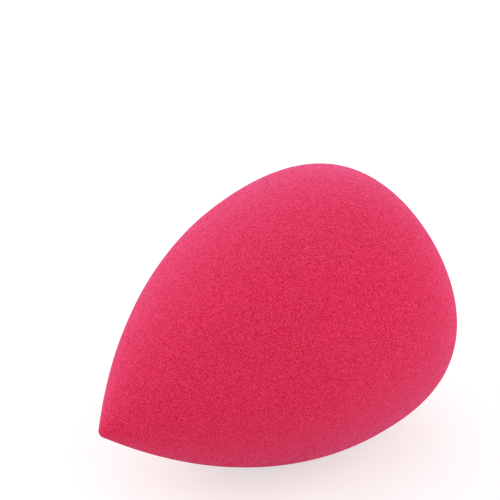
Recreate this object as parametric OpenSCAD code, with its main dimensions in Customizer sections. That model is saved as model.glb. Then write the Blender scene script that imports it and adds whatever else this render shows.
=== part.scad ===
// Drop-shaped foam sponge for blending make-up, lying on its side.
// It is one moulded piece of soft, fine-celled foam, round about its own axis.
// Millimetres. X runs from the pointed tip to the blunt end, Z is up, and the origin is on the
// surface that the sponge lies on, under the middle of its length and width.

/* [Body] */
// Length along the axis, from the pointed tip to the blunt end
sponge_len = 60; // [48:0.5:80]
// Diameter of the belly, the widest ring
belly_d = 44; // [34:0.5:54]
// Distance along the axis from the tip to the belly
belly_at = 40.5; // [34:0.5:46]

/* [Tip] */
// Radius of the small round tip
tip_r = 1.1; // [0.4:0.1:4]
// Angle between the axis and the side where it leaves the tip
tip_slope = 49.5; // [35:0.5:60]

/* [Curve of the side] */
// How far the side keeps the tip's slope, as a share of the nose's length
nose_tip_share = 0.38; // [0.2:0.01:0.5]
// How far the side keeps level before the belly, as a share of the nose's length
nose_belly_share = 0.42; // [0.2:0.01:0.5]
// How square the blunt end is, as a share of the belly's radius
blunt_square_share = 0.59; // [0.4:0.01:0.75]

/* [Resting] */
// Depth that the foam is pressed flat where it lies
rest_depth = 0.5; // [0.2:0.05:1.5]

/* [Smoothness] */
// Steps along the nose and along the blunt end
curve_steps = 24; // [8:1:48]
// Steps round the tip
tip_steps = 5; // [3:1:12]

/* [Hidden] */
foam_color = "#DB3A60";
round_fn = 120;
overrun = 1;

// The side is one curve drawn in [radius, distance from the tip].
belly_r = belly_d / 2;
nose_start = [tip_r * cos(tip_slope), tip_r * (1 - sin(tip_slope))];
nose_run = belly_at - nose_start[1];
nose_tip_handle = nose_start + nose_tip_share * nose_run * [sin(tip_slope), cos(tip_slope)];
nose_belly_handle = [belly_r, belly_at - nose_belly_share * nose_run];
blunt_end_handle = [blunt_square_share * belly_r, sponge_len];

// A cubic's curvature at its end grows with the drop to its far handle and falls with the square of
// its near handle, so this handle gives the belly the same curvature on both sides.
nose_drop = belly_r - nose_tip_handle[0];
blunt_drop = belly_r - blunt_end_handle[0];
blunt_belly_handle = [belly_r, belly_at + nose_belly_share * nose_run * sqrt(blunt_drop / nose_drop)];

function cubic(a, b, c, d, t) =
    pow(1 - t, 3) * a + 3 * pow(1 - t, 2) * t * b + 3 * (1 - t) * pow(t, 2) * c + pow(t, 3) * d;

function tip_arc() = [
    for (i = [0 : tip_steps - 1])
        let (turn = (90 - tip_slope) * i / tip_steps)
        [tip_r * sin(turn), tip_r * (1 - cos(turn))]
];

function nose_curve() = [
    for (i = [0 : curve_steps - 1])
        cubic(nose_start, nose_tip_handle, nose_belly_handle, [belly_r, belly_at], i / curve_steps)
];

function blunt_curve() = [
    for (i = [0 : curve_steps])
        cubic([belly_r, belly_at], blunt_belly_handle, blunt_end_handle, [0, sponge_len], i / curve_steps)
];

side = concat(tip_arc(), nose_curve(), blunt_curve());
last = len(side) - 1;

// The centre of mass on the axis, from the slices of cone between neighbouring points.
function total(list, i = 0) = i == len(list) ? 0 : list[i] + total(list, i + 1);
slices = [for (i = [0 : last - 1]) [side[i][0], side[i + 1][0], side[i + 1][1] - side[i][1], side[i][1]]];
volumes = [for (s = slices) s[2] * (s[0] * s[0] + s[0] * s[1] + s[1] * s[1])];
moments = [
    for (i = [0 : last - 1])
        let (s = slices[i])
        s[3] * volumes[i] + s[2] * s[2] * (s[0] * s[0] + 2 * s[0] * s[1] + 3 * s[1] * s[1]) / 4
];
mass_at = total(moments) / total(volumes);

// A loose drop rolls until its centre of mass is lowest, so it touches the surface where its side
// is nearest to that centre. The foot is that place on the nearest straight run of the side.
function foot_on(a, b, t) = a + (b - a) * min(1, max(0, t));
feet = [
    for (i = [0 : last - 1])
        let (a = side[i], b = side[i + 1], run = b - a)
        foot_on(a, b, ([0, mass_at] - a) * run / (run * run))
];
foot_gaps = [for (f = feet) norm(f - [0, mass_at])];
foot = feet[search(min(foot_gaps), foot_gaps)[0]];
lie_angle = atan2(mass_at - foot[1], foot[0]);

// Reach of the lying drop, so that it can be set on the surface and centred over the origin.
back_x = max([for (p = side) p[1] * cos(lie_angle) + p[0] * sin(lie_angle)]);
front_x = min([for (p = side) p[1] * cos(lie_angle) - p[0] * sin(lie_angle)]);
low_z = min([for (p = side) p[1] * sin(lie_angle) - p[0] * cos(lie_angle)]);

// The drop standing on its tip, as it comes out of its mould.
module drop() {
    rotate_extrude($fn = round_fn) polygon(side);
}

// Everything under the surface that the sponge lies on.
module under_surface() {
    reach = sponge_len + belly_d;
    translate([-reach / 2, -reach / 2, -rest_depth - overrun])
        cube([reach, reach, rest_depth + overrun]);
}

module foam_body() {
    color(foam_color) difference() {
        translate([-(back_x + front_x) / 2, 0, -low_z - rest_depth])
            rotate([0, 90 - lie_angle, 0])
                drop();
        under_surface();
    }
}

foam_body();
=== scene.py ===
# %% [markdown]
# # A drop-shaped foam sponge
#
# The object is a sponge for blending make-up: one moulded piece of soft foam, round about its own
# axis, with a pointed tip and a blunt end. It lies on its side. The construction model already
# holds its size and place, so this script loads that model as a fixed frame and makes everything
# that the eye sees: the foam with its open pores, its colour and grain, the light, the floor and
# the camera.

# %% Load the frame
import math

import bpy
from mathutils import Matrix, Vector


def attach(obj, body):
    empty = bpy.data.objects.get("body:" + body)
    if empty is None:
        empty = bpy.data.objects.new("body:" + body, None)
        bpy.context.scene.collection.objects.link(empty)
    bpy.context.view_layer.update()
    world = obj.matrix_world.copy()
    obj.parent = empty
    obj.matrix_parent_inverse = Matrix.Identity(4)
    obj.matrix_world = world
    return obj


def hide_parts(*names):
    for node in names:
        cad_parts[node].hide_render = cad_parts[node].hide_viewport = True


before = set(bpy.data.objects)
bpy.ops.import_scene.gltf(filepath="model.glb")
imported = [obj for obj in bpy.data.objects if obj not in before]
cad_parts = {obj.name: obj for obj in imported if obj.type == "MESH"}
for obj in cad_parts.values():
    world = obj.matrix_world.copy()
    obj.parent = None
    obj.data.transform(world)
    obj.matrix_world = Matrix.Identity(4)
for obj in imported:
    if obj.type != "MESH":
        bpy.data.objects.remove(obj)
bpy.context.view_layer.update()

# %% [markdown]
# ## The sizes of the sponge
#
# A drop needs few sizes: how long it is, how wide its belly is and where the belly sits, and how
# round and how steep its tip is. Three shares then say how the side curves between those places.
# They are the same sizes that the construction model was built from, here in metres.

# %% Sizes of the drop
MM = 0.001
SPONGE_LENGTH = 60 * MM
BELLY_RADIUS = 22 * MM
BELLY_AT = 40.5 * MM
TIP_RADIUS = 1.1 * MM
TIP_SLOPE = math.radians(49.5)
NOSE_TIP_SHARE = 0.38
NOSE_BELLY_SHARE = 0.42
BLUNT_SQUARE_SHARE = 0.59
print(f"the drop is {SPONGE_LENGTH / MM:.0f} mm long and {2 * BELLY_RADIUS / MM:.0f} mm across")

# %% [markdown]
# ## How the sponge lies
#
# A loose drop rolls until it lies on its side with the tip a little lowered. The tilt could be
# worked out again from the shape, but the frame has it already, and measuring it there keeps the
# two alike. The end of the tip is the point farthest from the centre of mass. Both are on the axis,
# and the line through them gives the tilt.

# %% Measure the lying place
def mass_centre(mesh):
    """The centre of a closed mesh's volume, summed from the pyramids over its triangles."""
    mesh.calc_loop_triangles()
    volume, moment = 0.0, Vector()
    for triangle in mesh.loop_triangles:
        a, b, c = (mesh.vertices[i].co for i in triangle.vertices)
        pyramid = a.dot(b.cross(c)) / 6
        volume += pyramid
        moment += pyramid * (a + b + c) / 4
    return moment / volume


def farthest_point(mesh, place):
    """The corner of a mesh that is farthest from a place."""
    return max((vertex.co for vertex in mesh.vertices), key=lambda co: (co - place).length).copy()


cad_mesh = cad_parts["foam_body"].data
middle = mass_centre(cad_mesh)
tip_place = farthest_point(cad_mesh, middle)
axis = middle - tip_place
LIE_ANGLE = math.atan2(axis.z, axis.x)
print(f"the axis rises {math.degrees(LIE_ANGLE):.2f} degrees towards the blunt end")

# %% [markdown]
# ## Short calls for node trees
#
# A node tree can be drawn by hand in the node editor. The trees here are built from Python, so that
# the whole recipe can be read as text, and small helpers keep each step short. The first ones start
# a tree, add a node with its settings and its inputs, and read a node's result. The others add one
# bit of arithmetic and hand back its result.

# %% Helpers: trees and nodes
def new_tree(name, inputs, output="Geometry"):
    """An empty geometry tree with these named inputs, (name, kind of socket), and one output."""
    tree = bpy.data.node_groups.new(name, "GeometryNodeTree")
    for label, kind in inputs:
        tree.interface.new_socket(label, in_out="INPUT", socket_type="NodeSocket" + kind)
    tree.interface.new_socket(output, in_out="OUTPUT", socket_type="NodeSocketGeometry")
    return tree


def put(tree, kind, plugs, **settings):
    """Adds a node, sets it, and feeds its inputs, named or numbered, from values or sockets."""
    node = tree.nodes.new(kind)
    for name, value in settings.items():
        setattr(node, name, value)
    for label, value in plugs.items():
        if isinstance(label, int):
            socket = node.inputs[label]
        else:
            socket = next(s for s in node.inputs if s.name == label and s.enabled)
        if isinstance(value, bpy.types.NodeSocket):
            tree.links.new(value, socket)
        else:
            socket.default_value = value
    return node


def result(node):
    """The first output in use, for nodes that keep one output for each kind of value."""
    return next(s for s in node.outputs if s.enabled)


def finish(tree, output):
    """Sends a result to the tree's only output, and hands back the tree."""
    end = tree.nodes.new("NodeGroupOutput")
    tree.links.new(output, end.inputs[0])
    return tree

# %% Helpers: numbers and vectors
def calc(tree, operation, *numbers):
    """The result of one piece of arithmetic on numbers or sockets."""
    return put(tree, "ShaderNodeMath", dict(enumerate(numbers)), operation=operation).outputs[0]


def vector(tree, x, y, z):
    """A vector from three numbers or sockets."""
    return put(tree, "ShaderNodeCombineXYZ", {"X": x, "Y": y, "Z": z}).outputs[0]


def vector_calc(tree, operation, *vectors):
    """The result of one piece of vector arithmetic."""
    plugs = dict(enumerate(vectors))
    return result(put(tree, "ShaderNodeVectorMath", plugs, operation=operation))


def along(tree, direction, distance):
    """A direction scaled to a length."""
    plugs = {"Vector": direction, "Scale": distance}
    return put(tree, "ShaderNodeVectorMath", plugs, operation="SCALE").outputs[0]


def split(tree, value):
    """The three numbers of a vector."""
    return put(tree, "ShaderNodeSeparateXYZ", {"Vector": value}).outputs


def stored(tree, name, kind):
    """The values that were stored on the points or faces under a name."""
    return result(put(tree, "GeometryNodeInputNamedAttribute", {"Name": name}, data_type=kind))

# %% [markdown]
# ## The side of the drop
#
# Cut through its axis, a drop shows one smooth line from the tip to the blunt end. A ball could be
# pulled out to a point by hand, but then no size could be set by itself. So the line is drawn as
# three Bezier segments that meet without a corner: round the tip, along the nose to the belly, and
# over the blunt end. X is the distance from the axis and Z the distance from the tip.
#
# A Bezier segment follows the arc of a circle when its handles are as long as the radius times 4/3
# of the tangent of a quarter of the arc. That draws the tip, which is a part of a small ball.

# %% Round the tip
QUARTER_TURN = math.pi / 2
ARC_HANDLE = 4 / 3


def round_the_tip(tree, size, uphill):
    """From the tip's pole to where the nose leaves the ball, a quarter turn less the slope."""
    slope, radius = size["Tip Slope"], size["Tip Radius"]
    height = calc(tree, "SUBTRACT", 1, calc(tree, "SINE", slope))
    end = along(tree, vector(tree, calc(tree, "COSINE", slope), 0, height), radius)
    quarter_arc = calc(tree, "DIVIDE", calc(tree, "SUBTRACT", QUARTER_TURN, slope), 4)
    pull = calc(tree, "MULTIPLY", calc(tree, "TANGENT", quarter_arc), ARC_HANDLE)
    pull = calc(tree, "MULTIPLY", pull, radius)
    return {
        "Start": (0, 0, 0),
        "Start Handle": vector(tree, pull, 0, 0),
        "End Handle": vector_calc(tree, "SUBTRACT", end, along(tree, uphill, pull)),
        "End": end,
    }


print(f"the tip's arc turns {90 - math.degrees(TIP_SLOPE):.1f} degrees")

# %% [markdown]
# The nose is the longest of the three. Its first handle points uphill, so it leaves the ball of the
# tip without a corner, and its last one points along the axis, so it comes level at the belly.

# %% Along the nose
def along_the_nose(tree, size, uphill, start):
    """From the tip's ball to the belly, and the length that it keeps level before the belly."""
    belly, belly_at = size["Belly Radius"], size["Belly At"]
    run = calc(tree, "SUBTRACT", belly_at, split(tree, start)["Z"])
    keep = calc(tree, "MULTIPLY", run, size["Nose Tip Share"])
    level = calc(tree, "MULTIPLY", run, size["Nose Belly Share"])
    nose = {
        "Start": start,
        "Start Handle": vector_calc(tree, "ADD", start, along(tree, uphill, keep)),
        "End Handle": vector(tree, belly, 0, calc(tree, "SUBTRACT", belly_at, level)),
        "End": vector(tree, belly, 0, belly_at),
    }
    return nose, level


print(f"the belly is {BELLY_AT / MM:.1f} mm from the tip")

# %% [markdown]
# The blunt end is fuller than half a ball. Its first handle is not free: it is worked out so that
# the curve bends equally on both sides of the belly, because a jump in bend would show as a line in
# soft light. The bend at the end of a segment grows with the drop to its far handle and falls with
# the square of its near one, hence the square root.

# %% Over the blunt end
def over_the_blunt_end(tree, size, nose, level):
    """From the belly to the blunt end, with the same bend behind the belly as before it."""
    belly, length = size["Belly Radius"], size["Length"]
    square = calc(tree, "MULTIPLY", belly, size["Blunt Square Share"])
    blunt_drop = calc(tree, "SUBTRACT", belly, square)
    nose_drop = calc(tree, "SUBTRACT", belly, split(tree, nose["Start Handle"])["X"])
    longer = calc(tree, "SQRT", calc(tree, "DIVIDE", blunt_drop, nose_drop))
    return {
        "Start": nose["End"],
        "Start Handle": vector(
            tree, belly, 0, calc(tree, "MULTIPLY_ADD", level, longer, size["Belly At"]),
        ),
        "End Handle": vector(tree, square, 0, length),
        "End": vector(tree, 0, 0, length),
    }


print(f"the blunt end is {(SPONGE_LENGTH - BELLY_AT) / MM:.1f} mm deep")

# %% [markdown]
# The three segments now become one tree. Its inputs are the drop's sizes, so the line can be drawn
# again for any other drop.

# %% Tree: side of the drop
DROP_SIZES = [
    ("Length", "Float"), ("Belly Radius", "Float"), ("Belly At", "Float"),
    ("Tip Radius", "Float"), ("Tip Slope", "Float"), ("Nose Tip Share", "Float"),
    ("Nose Belly Share", "Float"), ("Blunt Square Share", "Float"),
]
SEGMENT_STEPS = 128


def side_tree():
    tree = new_tree("Side of the Drop", DROP_SIZES, "Curve")
    size = tree.nodes.new("NodeGroupInput").outputs
    slope = size["Tip Slope"]
    uphill = vector(tree, calc(tree, "SINE", slope), 0, calc(tree, "COSINE", slope))
    tip = round_the_tip(tree, size, uphill)
    nose, level = along_the_nose(tree, size, uphill, tip["End"])
    blunt = over_the_blunt_end(tree, size, nose, level)

    # The join puts the link made last first, so the line starts at the tip.
    joined = tree.nodes.new("GeometryNodeJoinGeometry")
    for points in (blunt, nose, tip):
        segment = put(
            tree, "GeometryNodeCurvePrimitiveBezierSegment",
            {"Resolution": SEGMENT_STEPS, **points},
        )
        tree.links.new(segment.outputs["Curve"], joined.inputs[0])
    return finish(tree, joined.outputs[0])


SIDE_TREE = side_tree()
print("side tree:", len(SIDE_TREE.nodes), "nodes")

# %% [markdown]
# ## A ruler for sharing out the skin
#
# The foam has cells of about the same size all over. A pattern made on a ball could simply be
# stretched to the drop, but it would crowd towards the tip, so it is shared out by area. On a ball,
# equal steps of height have equal areas. So this tree turns the side into a ruler from 0 to 1 on
# which each step takes an equal area of the drop, and every mark remembers its place on the side.
# Near the tip a step takes less, which makes the cells there half as wide, so that the small round
# tip keeps its shape.

# %% Marks along the side
RULER_STEPS = 2048
STEPS_TO_TIP = 1.5
SIDE_PLACE = "side_place"


def marked_line(tree, curve, index):
    """A straight row of marks that each remember a place on the side, closer towards the tip."""
    line = put(tree, "GeometryNodeCurvePrimitiveLine", {"End": (1, 0, 0)})
    marks = put(
        tree, "GeometryNodeResampleCurve", {"Curve": line.outputs[0], "Count": RULER_STEPS},
    )
    factor = calc(tree, "DIVIDE", index, RULER_STEPS - 1)
    factor = calc(tree, "POWER", factor, STEPS_TO_TIP)
    place = put(
        tree, "GeometryNodeSampleCurve", {"Curves": curve, "Factor": factor},
        mode="FACTOR", use_all_curves=True,
    ).outputs["Position"]
    return put(
        tree, "GeometryNodeStoreNamedAttribute",
        {"Geometry": marks.outputs[0], "Name": SIDE_PLACE, "Value": place},
        data_type="FLOAT_VECTOR", domain="POINT",
    ).outputs[0]


print(RULER_STEPS, "marks along the side")

# %% Tree: area ruler
def skin_bands(tree, given, index):
    """The skin between each mark and the one before it, counted for more near the tip."""
    here = stored(tree, SIDE_PLACE, "FLOAT_VECTOR")
    before = calc(tree, "MAXIMUM", calc(tree, "SUBTRACT", index, 1), 0)
    last = result(put(
        tree, "GeometryNodeFieldAtIndex", {"Value": here, "Index": before},
        data_type="FLOAT_VECTOR", domain="POINT",
    ))
    width = vector_calc(tree, "DISTANCE", here, last)
    radii = calc(tree, "ADD", split(tree, here)["X"], split(tree, last)["X"])
    from_tip = calc(tree, "DIVIDE", split(tree, here)["Z"], given["Tip Reach"])
    fading = calc(tree, "EXPONENT", calc(tree, "MULTIPLY", from_tip, -1))
    fineness = calc(tree, "MULTIPLY_ADD", fading, given["Tip Fineness"], 1)
    return calc(tree, "MULTIPLY", calc(tree, "MULTIPLY", width, radii), fineness)


def ruler_tree():
    tree = new_tree("Area Ruler", [
        ("Curve", "Geometry"), ("Tip Fineness", "Float"), ("Tip Reach", "Float"),
    ], "Ruler")
    given = tree.nodes.new("NodeGroupInput").outputs
    index = tree.nodes.new("GeometryNodeInputIndex").outputs[0]
    marked = marked_line(tree, given["Curve"], index)
    total = put(
        tree, "GeometryNodeAccumulateField", {"Value": skin_bands(tree, given, index)},
        data_type="FLOAT", domain="POINT",
    ).outputs
    share = calc(tree, "DIVIDE", total["Leading"], total["Total"])
    ruler = put(
        tree, "GeometryNodeSetPosition",
        {"Geometry": marked, "Position": vector(tree, share, 0, 0)},
    )
    return finish(tree, ruler.outputs[0])


RULER_TREE = ruler_tree()
print("ruler tree:", len(RULER_TREE.nodes), "nodes")

# %% [markdown]
# ## The cells of the skin
#
# Foam is a crowd of bubbles, and its skin shows them as many-sided cells. A texture could draw them,
# but the mesh would stay smooth, and a grid of faces would look like a honeycomb. So points are
# scattered over a ball, none closer to the next than one spacing, and a convex hull joins each to
# its neighbours. The dual mesh then turns every point into a cell. Most have four to eight sides,
# and no two are alike.

# %% Cells on a ball
SCATTER_DETAIL = 6
POINTS_TRIED = 3.0


def cells_on_ball(tree, given, position):
    """Scatters points over a ball and turns each into a many-sided cell."""
    ball = put(tree, "GeometryNodeMeshIcoSphere", {"Radius": 1, "Subdivisions": SCATTER_DETAIL})
    spacing = given["Cell Spacing"]
    crowding = calc(tree, "DIVIDE", POINTS_TRIED, calc(tree, "MULTIPLY", spacing, spacing))
    points = put(
        tree, "GeometryNodeDistributePointsOnFaces",
        {
            "Mesh": ball.outputs["Mesh"], "Distance Min": spacing, "Density Max": crowding,
            "Seed": given["Seed"],
        },
        distribute_method="POISSON",
    )
    on_ball = vector_calc(tree, "NORMALIZE", position)
    raised = put(
        tree, "GeometryNodeSetPosition",
        {"Geometry": points.outputs["Points"], "Position": on_ball},
    )
    hull = put(tree, "GeometryNodeConvexHull", {"Geometry": raised.outputs[0]})
    return put(tree, "GeometryNodeDualMesh", {"Mesh": hull.outputs[0]}).outputs[0]


print("the ball has", 20 * 4 ** (SCATTER_DETAIL - 1), "faces to scatter on")

# %% [markdown]
# Each corner of a cell then moves to the drop. Its height on the ball picks a mark on the ruler, and
# its direction round the ball stays, so the cells cover the drop evenly and follow its side exactly.

# %% Tree: skin cells
def place_on_drop(tree, ruler, position):
    """Where a corner on the ball goes on the drop. Heights from -1 to 1 are shares from 0 to 1."""
    x, y, z = split(tree, vector_calc(tree, "NORMALIZE", position))
    share = calc(tree, "MULTIPLY_ADD", z, 0.5, 0.5)
    place = stored(tree, SIDE_PLACE, "FLOAT_VECTOR")
    on_side = put(
        tree, "GeometryNodeSampleCurve", {"Curves": ruler, "Value": place, "Factor": share},
        data_type="FLOAT_VECTOR", mode="FACTOR",
    ).outputs["Value"]
    radius, _, height = split(tree, on_side)
    round_axis = vector_calc(tree, "NORMALIZE", vector(tree, x, y, 0))
    from_axis = along(tree, round_axis, radius)
    return vector_calc(tree, "ADD", from_axis, vector(tree, 0, 0, height))


def cells_tree():
    tree = new_tree("Skin Cells", [
        ("Ruler", "Geometry"), ("Cell Spacing", "Float"), ("Seed", "Int"),
    ])
    given = tree.nodes.new("NodeGroupInput").outputs
    position = tree.nodes.new("GeometryNodeInputPosition").outputs[0]
    cells = cells_on_ball(tree, given, position)
    skin = put(
        tree, "GeometryNodeSetPosition",
        {"Geometry": cells, "Position": place_on_drop(tree, given["Ruler"], position)},
    )
    return finish(tree, skin.outputs[0])


CELLS_TREE = cells_tree()
print("cells tree:", len(CELLS_TREE.nodes), "nodes")

# %% [markdown]
# ## Lying on the table
#
# The drop was made standing on its tip, where its sizes are easy to give. This tree lays it down at
# the place measured above. Soft foam gives where it bears its own weight. A simulation could press
# it, but a body so small and light gives by a flat spot only, so whatever would go below the table
# is pressed flat against it, with a short soft bend round the flat, not a sharp edge. A slow, slight
# unevenness goes on first, because foam never leaves its mould quite true.

# %% Tree: lie down
def uneven_skin(tree, given):
    """Moves the skin slightly in and out, by a slow noise that swings about one half."""
    normal = tree.nodes.new("GeometryNodeInputNormal").outputs[0]
    noise = put(
        tree, "ShaderNodeTexNoise",
        {"Scale": calc(tree, "DIVIDE", 1, given["Uneven Width"]), "Detail": 1.0},
    ).outputs[0]
    swing = calc(tree, "MULTIPLY", calc(tree, "SUBTRACT", noise, 0.5), given["Unevenness"])
    return put(
        tree, "GeometryNodeSetPosition",
        {"Geometry": given["Geometry"], "Offset": along(tree, normal, swing)},
    ).outputs[0]


def lie_tree():
    tree = new_tree("Lie Down", [
        ("Geometry", "Geometry"), ("Lie Angle", "Float"), ("Tip Place", "Vector"),
        ("Press Bend", "Float"), ("Unevenness", "Float"), ("Uneven Width", "Float"),
    ])
    given = tree.nodes.new("NodeGroupInput").outputs
    uneven = uneven_skin(tree, given)
    tilt = vector(tree, 0, calc(tree, "SUBTRACT", QUARTER_TURN, given["Lie Angle"]), 0)
    turn = put(tree, "FunctionNodeEulerToRotation", {0: tilt}).outputs[0]
    laid = put(
        tree, "GeometryNodeTransform",
        {"Geometry": uneven, "Translation": given["Tip Place"], "Rotation": turn},
    )
    x, y, z = split(tree, tree.nodes.new("GeometryNodeInputPosition").outputs[0])
    pressed = calc(tree, "SMOOTH_MAX", z, 0, given["Press Bend"])
    flat = put(
        tree, "GeometryNodeSetPosition",
        {"Geometry": laid.outputs[0], "Position": vector(tree, x, y, pressed)},
    )
    return finish(tree, flat.outputs[0])


LIE_TREE = lie_tree()
print("lying tree:", len(LIE_TREE.nodes), "nodes")

# %% [markdown]
# ## Bubbles open at the skin
#
# Each cell is a bubble that the skin cuts open, so each becomes a small pit. A texture could dent
# the skin, but each dent would take many faces, and a cell that is pushed in takes one for each of
# its sides. More bubbles are cut near their edge and are shallow than are cut through the middle
# and look like dark dots, so a random number between 0 and 1 is raised to a power to say how open
# each bubble is. A pit is kept shallow where the foam is pressed on the table. The depth is a share
# of the cell's own width.

# %% How open and how deep each bubble is
FEW_DEEP = 1.3


def openness_by_chance(tree, given):
    """A number for each cell, from 0, closed, to 1, cut through the middle; 0 on the table."""
    dice = put(tree, "FunctionNodeRandomValue", {"Seed": given["Seed"]}, data_type="FLOAT")
    open_cell = calc(tree, "POWER", result(dice), given["Few Deep"])
    height = split(tree, tree.nodes.new("GeometryNodeInputPosition").outputs[0])["Z"]
    free = put(
        tree, "ShaderNodeMapRange",
        {"Value": height, "From Max": given["Clear of Table"]}, clamp=True,
    ).outputs["Result"]
    return calc(tree, "MULTIPLY", open_cell, free)


def pit_depth(tree, given, openness):
    """A share of the cell's width, more for the few that are cut through the middle."""
    width = calc(tree, "SQRT", tree.nodes.new("GeometryNodeInputMeshFaceArea").outputs[0])
    spread = calc(tree, "SUBTRACT", given["Deep Share"], given["Shallow Share"])
    share = calc(tree, "MULTIPLY_ADD", openness, spread, given["Shallow Share"])
    return calc(tree, "MULTIPLY", width, share)


print(f"{1 - 0.5 ** (1 / FEW_DEEP):.0%} of the bubbles are more than half open")

# %% [markdown]
# To make a pit, each cell is pushed in as a face of its own and its bottom is drawn together to a
# point. The walls between neighbours stay sharp, and the inside of each pit is smooth. A number
# stays on each corner, 0 on the walls and up to 1 at the bottom of the deepest pits. The foam's
# colour reads it and paints shade into the pits, darker towards their bottom.

# %% Tree: bubble pits
MERGE_DISTANCE = 0.001 * MM
OPEN_CELL = "open_cell"
# The number that darkens the bottom of each pit in the foam's colour: painted shade.
PIT_SHADE = "pit_shade"


def pits_tree():
    tree = new_tree("Bubble Pits", [
        ("Geometry", "Geometry"), ("Shallow Share", "Float"), ("Deep Share", "Float"),
        ("Few Deep", "Float"), ("Clear of Table", "Float"), ("Seed", "Int"),
    ])
    given = tree.nodes.new("NodeGroupInput").outputs
    marked = put(
        tree, "GeometryNodeStoreNamedAttribute",
        {
            "Geometry": given["Geometry"], "Name": OPEN_CELL,
            "Value": openness_by_chance(tree, given),
        },
        data_type="FLOAT", domain="FACE",
    )
    openness = stored(tree, OPEN_CELL, "FLOAT")
    depth = pit_depth(tree, given, openness)
    walls = put(
        tree, "GeometryNodeSetShadeSmooth",
        {"Geometry": marked.outputs[0], "Shade Smooth": False}, domain="EDGE",
    )
    pit = put(
        tree, "GeometryNodeExtrudeMesh",
        {
            "Mesh": walls.outputs[0], "Offset Scale": calc(tree, "MULTIPLY", depth, -1),
            "Individual": True,
        },
        mode="FACES",
    ).outputs
    point = put(
        tree, "GeometryNodeScaleElements",
        {"Geometry": pit["Mesh"], "Selection": pit["Top"], "Scale": 0.0}, domain="FACE",
    )
    # The bottom point keeps how open its bubble is, which sets how much shade is painted there.
    kept = put(
        tree, "GeometryNodeStoreNamedAttribute",
        {"Geometry": point.outputs[0], "Selection": pit["Top"], "Name": PIT_SHADE, "Value": openness},
        data_type="FLOAT", domain="POINT",
    )
    closed = put(
        tree, "GeometryNodeMergeByDistance",
        {"Geometry": kept.outputs[0], "Selection": pit["Top"], "Distance": MERGE_DISTANCE},
    )
    smooth = put(
        tree, "GeometryNodeSetShadeSmooth",
        {"Geometry": closed.outputs[0], "Shade Smooth": True},
    )
    return finish(tree, smooth.outputs[0])


PITS_TREE = pits_tree()
print("pits tree:", len(PITS_TREE.nodes), "nodes")

# %% [markdown]
# ## The whole sponge as one recipe
#
# The trees above could have been one long tree, but short ones are easier to read and to use again.
# They are now set one after the other in a main tree whose inputs are the sponge's own sizes.
# Changing one number makes another sponge of the same family.

# %% Tree: foam sponge
SPONGE_INPUTS = DROP_SIZES + [
    ("Tip Fineness", "Float"), ("Tip Reach", "Float"), ("Cell Spacing", "Float"),
    ("Seed", "Int"), ("Unevenness", "Float"), ("Uneven Width", "Float"),
    ("Lie Angle", "Float"), ("Tip Place", "Vector"), ("Press Bend", "Float"),
    ("Shallow Share", "Float"), ("Deep Share", "Float"), ("Few Deep", "Float"),
    ("Clear of Table", "Float"), ("Foam", "Material"),
]


def use(tree, part, sizes, plugs=None):
    """Places one tree in another and feeds its inputs from the sizes with the same names."""
    node = tree.nodes.new("GeometryNodeGroup")
    node.node_tree = part
    for socket in node.inputs:
        source = plugs[socket.name] if plugs and socket.name in plugs else sizes[socket.name]
        tree.links.new(source, socket)
    return node.outputs[0]


def sponge_tree():
    tree = new_tree("Foam Sponge", SPONGE_INPUTS)
    size = tree.nodes.new("NodeGroupInput").outputs
    side = use(tree, SIDE_TREE, size)
    ruler = use(tree, RULER_TREE, size, {"Curve": side})
    skin = use(tree, CELLS_TREE, size, {"Ruler": ruler})
    laid = use(tree, LIE_TREE, size, {"Geometry": skin})
    porous = use(tree, PITS_TREE, size, {"Geometry": laid})
    real = put(tree, "GeometryNodeRealizeInstances", {"Geometry": porous})
    foam = put(
        tree, "GeometryNodeSetMaterial", {"Geometry": real.outputs[0], "Material": size["Foam"]},
    )
    return finish(tree, foam.outputs[0])


SPONGE_TREE = sponge_tree()
print("sponge tree:", len(SPONGE_TREE.nodes), "nodes")

# %% [markdown]
# ## The fine grain
#
# Between the open pores the skin is full of smaller bubbles, too small to model one by one: six or
# seven to the millimetre. An image of foam could be wrapped round the drop, but it would show its
# seam, so textures made by a rule draw them. A Voronoi texture gives each bubble a dimple with a
# dark middle and a pale wall round it. A noise a few bubbles wide makes patches that are a little
# deeper or paler than others, and a much slower one makes faint clouds. All read Object
# coordinates, so the grain runs through the foam as through a block. Kept as a node group, the same
# grain can be placed in another material with another bubble size.

# %% Group: foam grain
# The dark middle of a bubble and the start of its pale wall, as shares of the bubble size.
DARK_MIDDLE = 0.35
PALE_WALL = 0.62


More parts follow.
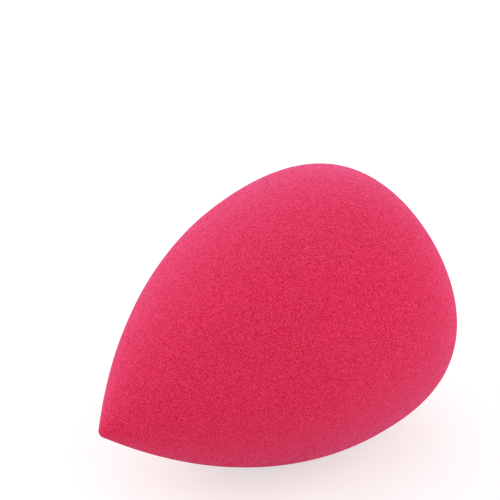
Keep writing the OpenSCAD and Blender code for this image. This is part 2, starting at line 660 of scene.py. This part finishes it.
def grain_group():
    group = bpy.data.node_groups.new("Foam Grain", "ShaderNodeTree")
    for label in ("Bubble Size", "Patch Size", "Cloud Size"):
        group.interface.new_socket(label, in_out="INPUT", socket_type="NodeSocketFloat")
    for label in ("Bubbles", "Patches", "Clouds"):
        group.interface.new_socket(label, in_out="OUTPUT", socket_type="NodeSocketFloat")
    given = group.nodes.new("NodeGroupInput").outputs
    place = group.nodes.new("ShaderNodeTexCoord").outputs["Object"]
    bubbles = put(
        group, "ShaderNodeTexVoronoi",
        {"Vector": place, "Scale": calc(group, "DIVIDE", 1, given["Bubble Size"])}, feature="F1",
    )
    dimple = put(
        group, "ShaderNodeMapRange",
        {"Value": bubbles.outputs["Distance"], "From Min": DARK_MIDDLE, "From Max": PALE_WALL},
        interpolation_type="SMOOTHSTEP",
    )
    patches = put(
        group, "ShaderNodeTexNoise",
        {"Vector": place, "Scale": calc(group, "DIVIDE", 1, given["Patch Size"]), "Detail": 2.0},
    )
    clouds = put(
        group, "ShaderNodeTexNoise",
        {"Vector": place, "Scale": calc(group, "DIVIDE", 1, given["Cloud Size"]), "Detail": 1.0},
    )
    end = group.nodes.new("NodeGroupOutput")
    group.links.new(dimple.outputs["Result"], end.inputs["Bubbles"])
    group.links.new(patches.outputs[0], end.inputs["Patches"])
    group.links.new(clouds.outputs[0], end.inputs["Clouds"])
    return group


GRAIN = grain_group()
print("grain group:", len(GRAIN.nodes), "nodes")

# %% [markdown]
# ## The foam's colour
#
# The dye goes all through the foam, so light that dives deep comes back darker and more saturated,
# and light from the thin bubble walls comes back paler. One flat colour would look like plastic. The
# base colour therefore runs between a deeper and a paler red pink, by a tone that the grain gives.
# Towards the bottom of the open pores it is darker still, which is painted shade in the pits.

# %% Colours of the foam
DEEP_PINK = (0.550, 0.0, 0.018, 1)
PALE_PINK = (0.822, 0.0465, 0.142, 1)
# Painted shade at the bottom of the pits.
PIT_SHADE_RED = (0.57, 0.0, 0.013, 1)
BUBBLE_SIZE = 0.15 * MM
PATCH_SIZE = 0.4 * MM
CLOUD_SIZE = 9 * MM
PATCH_SHARE = 0.05
CLOUD_SHARE = 0.08
# How closely the painted shade keeps to the middle of each pit.
PIT_SHADE_NARROWING = 2.0


def foam_tone(tree):
    """The grain's bubbles, and a tone from 0, deep, to 1, pale, made mostly of them."""
    grain = tree.nodes.new("ShaderNodeGroup")
    grain.node_tree = GRAIN
    grain.inputs["Bubble Size"].default_value = BUBBLE_SIZE
    grain.inputs["Patch Size"].default_value = PATCH_SIZE
    grain.inputs["Cloud Size"].default_value = CLOUD_SIZE
    bubbles, patches, clouds = grain.outputs
    tone = calc(tree, "MULTIPLY", bubbles, 1 - PATCH_SHARE - CLOUD_SHARE)
    tone = calc(tree, "MULTIPLY_ADD", patches, PATCH_SHARE, tone)
    tone = calc(tree, "MULTIPLY_ADD", clouds, CLOUD_SHARE, tone)
    return bubbles, tone


def foam_colour(tree, tone):
    """From deep to pale pink by the tone, and darker towards the bottom of the pits: painted shade.
    """
    skin = put(
        tree, "ShaderNodeMix", {"Factor": tone, "A": DEEP_PINK, "B": PALE_PINK}, data_type="RGBA",
    )
    # Painted shade: darker towards the bottom of each pit, by the number stored there.
    pit_shade = put(tree, "ShaderNodeAttribute", {}, attribute_name=PIT_SHADE).outputs["Fac"]
    pit_shade = calc(tree, "POWER", pit_shade, PIT_SHADE_NARROWING)
    return result(put(
        tree, "ShaderNodeMix", {"Factor": pit_shade, "A": result(skin), "B": PIT_SHADE_RED},
        data_type="RGBA",
    ))


print(f"about {MM / BUBBLE_SIZE:.0f} bubbles to the millimetre")

# %% [markdown]
# ## The foam's finish
#
# The skin has no gloss. Its fine walls catch light that grazes them, which draws the pale pink edge.
# Scattering under the skin could soften the edge too, but it blurs the grain. The Sheen of the
# Principled shader does what the walls do, and it stays right when the sponge is turned. The
# bubbles also drive a slight bump, and the paler walls are a little less rough than the hollows.

# %% Material: foam
SHEEN_PINK = (0.96, 0.437, 0.95, 1)
SHEEN_WEIGHT = 0.41
SHEEN_SPREAD = 0.5
GLOSS = 0.1
BUBBLE_DEPTH = 0.03 * MM
BUBBLE_RELIEF = 0.5
DEEP_ROUGHNESS = 1.0
PALE_ROUGHNESS = 0.8


def foam_material():
    material = bpy.data.materials.new("foam")
    material.use_nodes = True
    tree = material.node_tree
    foam = tree.nodes["Principled BSDF"]
    foam.inputs["Specular IOR Level"].default_value = GLOSS
    foam.inputs["Sheen Weight"].default_value = SHEEN_WEIGHT
    foam.inputs["Sheen Roughness"].default_value = SHEEN_SPREAD
    foam.inputs["Sheen Tint"].default_value = SHEEN_PINK
    bubbles, tone = foam_tone(tree)
    tree.links.new(foam_colour(tree, tone), foam.inputs["Base Color"])
    roughness = put(
        tree, "ShaderNodeMapRange",
        {"Value": tone, "To Min": DEEP_ROUGHNESS, "To Max": PALE_ROUGHNESS},
    )
    tree.links.new(roughness.outputs["Result"], foam.inputs["Roughness"])
    bump = put(
        tree, "ShaderNodeBump",
        {"Height": bubbles, "Distance": BUBBLE_DEPTH, "Strength": BUBBLE_RELIEF},
    )
    tree.links.new(bump.outputs["Normal"], foam.inputs["Normal"])
    return material


FOAM = foam_material()
print("foam material:", len(FOAM.node_tree.nodes), "nodes")

# %% [markdown]
# ## Making the sponge
#
# The recipe could stay on the object as a live modifier. It runs once and its result is kept as a
# plain mesh, because the exported model holds no recipes. It takes the sizes from above and a few
# that only the eye needs. Cell Spacing is measured on the ball of radius 1, and makes cells about
# half a millimetre wide on the drop. The cells get finer within Tip Reach of the tip. The depths of
# the pits are shares of a cell's width.

# %% Values of the recipe
SPONGE_VALUES = {
    "Length": SPONGE_LENGTH,
    "Belly Radius": BELLY_RADIUS,
    "Belly At": BELLY_AT,
    "Tip Radius": TIP_RADIUS,
    "Tip Slope": TIP_SLOPE,
    "Nose Tip Share": NOSE_TIP_SHARE,
    "Nose Belly Share": NOSE_BELLY_SHARE,
    "Blunt Square Share": BLUNT_SQUARE_SHARE,
    "Tip Fineness": 4.0,
    "Tip Reach": 3 * MM,
    "Cell Spacing": 0.0145,
    "Seed": 11,
    "Unevenness": 0.15 * MM,
    "Uneven Width": 14 * MM,
    "Lie Angle": LIE_ANGLE,
    "Tip Place": tip_place,
    "Press Bend": 0.35 * MM,
    "Shallow Share": 0.05,
    "Deep Share": 0.16,
    "Few Deep": FEW_DEEP,
    "Clear of Table": 0.3 * MM,
    "Foam": FOAM,
}
print("the recipe takes", len(SPONGE_VALUES), "values")

# %% Piece: the foam body
def made_by(tree, values, name):
    """Runs a tree with these values and keeps the result as an object with a plain mesh."""
    piece = bpy.data.objects.new(name, bpy.data.meshes.new(name))
    bpy.context.collection.objects.link(piece)
    recipe = piece.modifiers.new("Recipe", "NODES")
    recipe.node_group = tree
    for socket in tree.interface.items_tree:
        if socket.in_out == "INPUT":
            recipe[socket.identifier] = values[socket.name]
    seen = bpy.context.evaluated_depsgraph_get()
    mesh = bpy.data.meshes.new_from_object(
        piece.evaluated_get(seen), preserve_all_data_layers=True, depsgraph=seen,
    )
    piece.modifiers.remove(recipe)
    piece.data = mesh
    return piece


sponge = made_by(SPONGE_TREE, SPONGE_VALUES, "foam_sponge")
sponge.data.calc_loop_triangles()
print("foam sponge:", len(sponge.data.loop_triangles), "triangles")
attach(sponge, "root")
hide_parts("foam_body")

# %% [markdown]
# ## Floor and white surroundings
#
# The sponge lies on a plain pale floor, with white all round it. More light could make the floor
# and the sky white, but it would bleach the sponge. So Light Path tells two kinds of ray apart. To
# the camera both are white, and what they give the sponge is a little dimmer. From the floor it is
# rosy too, as light is that has gone to and fro near something so strongly coloured, so that the
# foam keeps its depth underneath.

# %% Rays that see the surroundings
WHITE = (1, 1, 1, 1)
SKY_LIGHT = 0.93


def seen_directly(tree):
    """1 for rays from the camera, and for those that a mirror or glass sends on, otherwise 0."""
    ray = tree.nodes.new("ShaderNodeLightPath").outputs
    mirror_or_glass = calc(tree, "MAXIMUM", ray["Is Glossy Ray"], ray["Is Transmission Ray"])
    return calc(tree, "MAXIMUM", ray["Is Camera Ray"], mirror_or_glass)


def by_ray(tree, lit, seen, kind):
    """One value for the light that reaches the sponge and another for what the camera sees."""
    plugs = {"Factor": seen_directly(tree), "A": lit, "B": seen}
    return result(put(tree, "ShaderNodeMix", plugs, data_type=kind))


def white_sky():
    world = bpy.data.worlds.new("white_sky")
    world.use_nodes = True
    tree = world.node_tree
    sky = tree.nodes["Background"]
    sky.inputs["Color"].default_value = WHITE
    tree.links.new(by_ray(tree, SKY_LIGHT, 1.0, "FLOAT"), sky.inputs["Strength"])
    return world


bpy.context.scene.world = white_sky()
print("sky light", SKY_LIGHT)

# %% [markdown]
# To the camera the floor is partly matt and partly a faint glow of its own. The glow lifts it to
# white, lights nothing else, and leaves a soft shadow under the sponge.

# %% Floor
BLACK = (0, 0, 0, 1)
FLOOR_WIDTH = 6.0
FLOOR_SEEN = (0.45, 0.45, 0.45, 1)
FLOOR_LIT = (0.78, 0.50, 0.52, 1)
FLOOR_GLOW = 0.60


def floor_material():
    material = bpy.data.materials.new("pale_floor")
    material.use_nodes = True
    tree = material.node_tree
    floor = tree.nodes["Principled BSDF"]
    floor.inputs["Roughness"].default_value = 1.0
    floor.inputs["Specular IOR Level"].default_value = 0.0
    floor.inputs["Emission Strength"].default_value = FLOOR_GLOW
    tree.links.new(by_ray(tree, FLOOR_LIT, FLOOR_SEEN, "RGBA"), floor.inputs["Base Color"])
    tree.links.new(by_ray(tree, BLACK, WHITE, "RGBA"), floor.inputs["Emission Color"])
    return material


def floor_object():
    half = FLOOR_WIDTH / 2
    corners = [(-half, -half, 0), (half, -half, 0), (half, half, 0), (-half, half, 0)]
    mesh = bpy.data.meshes.new("floor")
    mesh.from_pydata(corners, [], [(0, 1, 2, 3)])
    mesh.materials.append(floor_material())
    floor = bpy.data.objects.new("floor", mesh)
    bpy.context.collection.objects.link(floor)
    return floor


floor_object()
print("floor", FLOOR_WIDTH, "m wide")

# %% [markdown]
# ## The lamps
#
# The sky alone would light the sponge evenly and flatten it, and one small lamp would draw a hard
# shadow. So the sky gives most of the light, and three large soft lamps give the form. Two stand
# behind the sponge, one of them to the left, and graze the foam, which makes its upper edge glow.
# The third stands low in front on the right and lifts the side that turns away from the others. All
# are nearly a metre wide, so no shadow has an edge.

# %% Lamps
LAMP_WIDTH = 0.9
LAMP_DISTANCE = 1.0


def direction(turn, rise):
    """The way out from the sponge; turn 0 is in front, along -Y, and a quarter turn is +X."""
    level = math.cos(rise)
    return Vector((math.sin(turn) * level, -math.cos(turn) * level, math.sin(rise)))


def soft_lamp(name, turn, rise, power):
    """A round soft lamp that looks at the sponge, placed by two angles in degrees."""
    way = direction(math.radians(turn), math.radians(rise))
    light = bpy.data.lights.new(name, "AREA")
    light.shape = "DISK"
    light.size = LAMP_WIDTH
    light.energy = power
    lamp = bpy.data.objects.new(name, light)
    lamp.location = LAMP_DISTANCE * way
    lamp.rotation_euler = way.to_track_quat("Z", "Y").to_euler()
    bpy.context.collection.objects.link(lamp)


soft_lamp("back_lamp", turn=180, rise=25, power=1.4)
soft_lamp("left_lamp", turn=225, rise=25, power=2.5)
soft_lamp("front_lamp", turn=60, rise=20, power=3.0)
print("three lamps,", LAMP_WIDTH, "m wide")

# %% [markdown]
# ## The camera
#
# The camera looks down on the sponge from in front and about a third of a right angle round towards
# its tip. A short lens close by would swell the near side of the drop, so it stands near half a
# metre away with a long lens. Its aim is given as a shift to the right and up in the picture
# itself, from the place on the floor under the middle of the sponge.

# %% Camera
CAMERA_TURN = math.radians(-34.07)
CAMERA_RISE = math.radians(31)
CAMERA_DISTANCE = 441.4 * MM
LENS_LENGTH = 200
AIM_RIGHT = -2.0 * MM
AIM_UP = 30.8 * MM

back = direction(CAMERA_TURN, CAMERA_RISE)
right = Vector((math.cos(CAMERA_TURN), math.sin(CAMERA_TURN), 0))
up = back.cross(right)
camera = bpy.data.objects.new("camera", bpy.data.cameras.new("camera"))
camera.data.lens = LENS_LENGTH
camera.location = AIM_RIGHT * right + AIM_UP * up + CAMERA_DISTANCE * back
camera.rotation_euler = back.to_track_quat("Z", "Y").to_euler()
bpy.context.collection.objects.link(camera)
bpy.context.scene.camera = camera
bpy.context.scene.view_settings.view_transform = "Standard"
print("camera at", tuple(round(v, 4) for v in camera.location))
